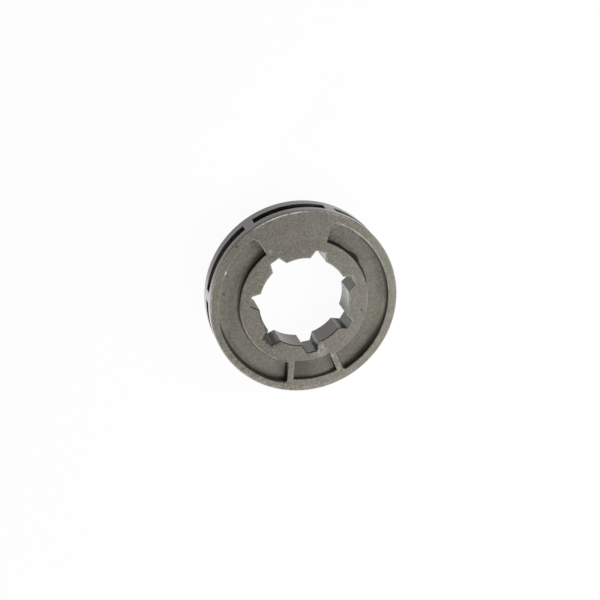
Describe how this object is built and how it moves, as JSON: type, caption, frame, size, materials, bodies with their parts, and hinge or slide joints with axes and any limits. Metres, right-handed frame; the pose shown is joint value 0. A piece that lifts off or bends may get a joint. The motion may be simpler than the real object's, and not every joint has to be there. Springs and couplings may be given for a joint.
{
  "type": "chainsaw rim sprocket",
  "caption": "Cast steel ring with a splined bore, chain windows round the rim and a recessed front face, which slides on a clutch drum hub and drives a saw chain.",
  "frame": {"origin": "centre of the bore on the back face", "axes": "+Z along the bore axis, out of the recessed front face; +Y towards the small panel between the two ribs"},
  "size_m": [0.036, 0.036, 0.007],
  "materials": {
    "cast_steel": "matte as cast, with fine grain and light worn edges"
  },
  "bodies": {
    "root": {"rim_sprocket": "cast_steel"}
  },
  "joints": []
}
